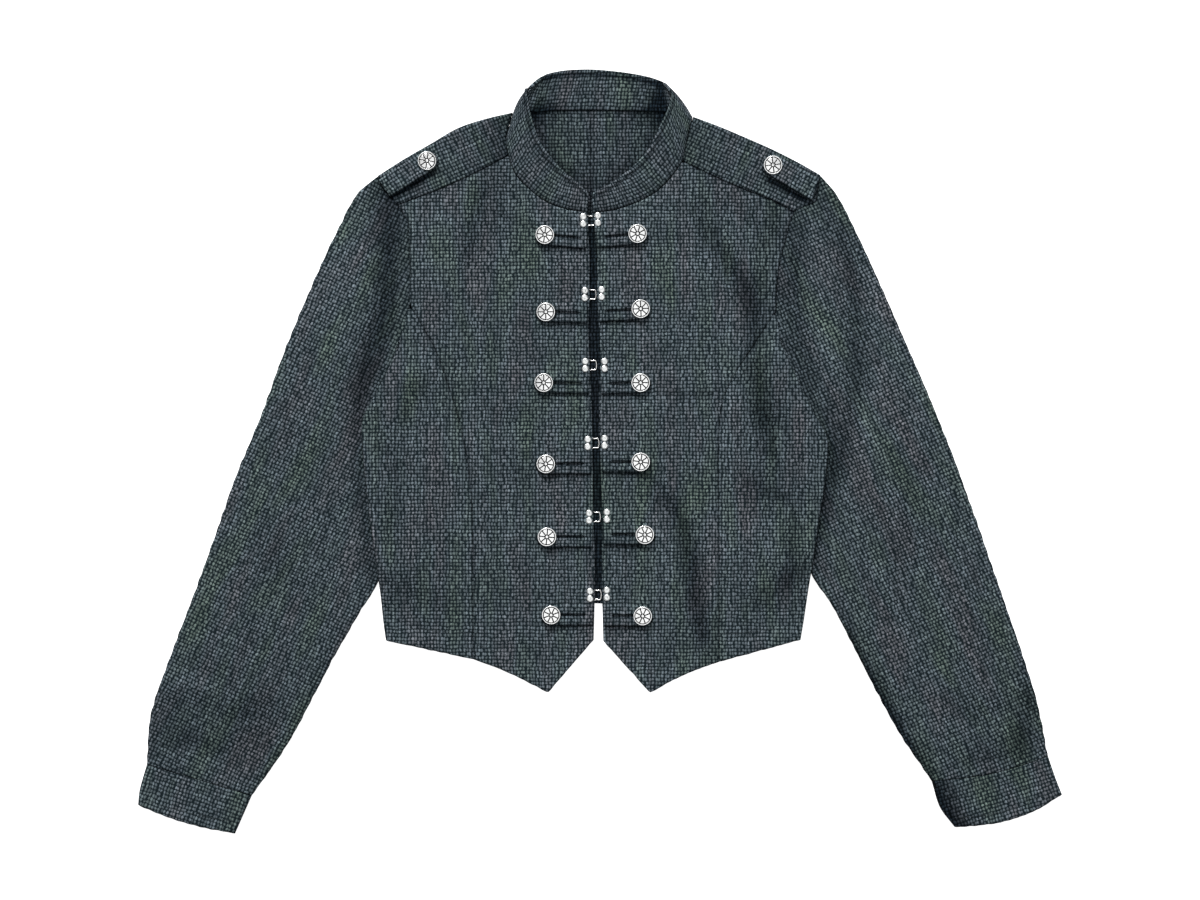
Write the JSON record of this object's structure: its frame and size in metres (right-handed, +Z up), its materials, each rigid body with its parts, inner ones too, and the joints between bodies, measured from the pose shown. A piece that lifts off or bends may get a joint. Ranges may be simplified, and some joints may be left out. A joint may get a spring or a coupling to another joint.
{
  "type": "cropped jacket",
  "caption": "Cropped jacket laid flat on its back, with a stand collar, shoulder straps, pointed front hems and buttoned straps beside a hook-and-eye opening.",
  "frame": {"origin": "middle of the bounding box on the surface that the jacket lies on", "axes": "+X to the wearer's left across both sleeves, +Y from the hem to the collar, +Z up from the surface, out of the fronts"},
  "size_m": [0.889, 0.7348, 0.0129],
  "materials": {
    "tweed": "charcoal tweed with light flecks, matt",
    "button_metal": "silver, engraved with radiating ribs",
    "stud_metal": "polished nickel",
    "wire_metal": "bright wire"
  },
  "bodies": {
    "root": {"back_left": "tweed", "back_right": "tweed", "button_left_1": "button_metal", "button_left_2": "button_metal", "button_left_3": "button_metal", "button_left_4": "button_metal", "button_left_5": "button_metal", "button_left_6": "button_metal", "button_right_1": "button_metal", "button_right_2": "button_metal", "button_right_3": "button_metal", "button_right_4": "button_metal", "button_right_5": "button_metal", "button_right_6": "button_metal", "button_shoulder_left": "button_metal", "button_shoulder_right": "button_metal", "collar": "tweed", "cuff_left": "tweed", "cuff_right": "tweed", "eye_1": "wire_metal", "eye_2": "wire_metal", "eye_3": "wire_metal", "eye_4": "wire_metal", "eye_5": "wire_metal", "eye_6": "wire_metal", "front_left": "tweed", "front_right": "tweed", "shoulder_strap_left": "tweed", "shoulder_strap_right": "tweed", "side_left": "tweed", "side_right": "tweed", "sleeve_left": "tweed", "sleeve_right": "tweed", "studs_left_1": "stud_metal", "studs_left_2": "stud_metal", "studs_left_3": "stud_metal", "studs_left_4": "stud_metal", "studs_left_5": "stud_metal", "studs_left_6": "stud_metal", "studs_right_1": "stud_metal", "studs_right_2": "stud_metal", "studs_right_3": "stud_metal", "studs_right_4": "stud_metal", "studs_right_5": "stud_metal", "studs_right_6": "stud_metal", "tab_left_1": "tweed", "tab_left_2": "tweed", "tab_left_3": "tweed", "tab_left_4": "tweed", "tab_left_5": "tweed", "tab_left_6": "tweed", "tab_right_1": "tweed", "tab_right_2": "tweed", "tab_right_3": "tweed", "tab_right_4": "tweed", "tab_right_5": "tweed", "tab_right_6": "tweed", "yoke_left": "tweed", "yoke_right": "tweed"}
  },
  "joints": []
}
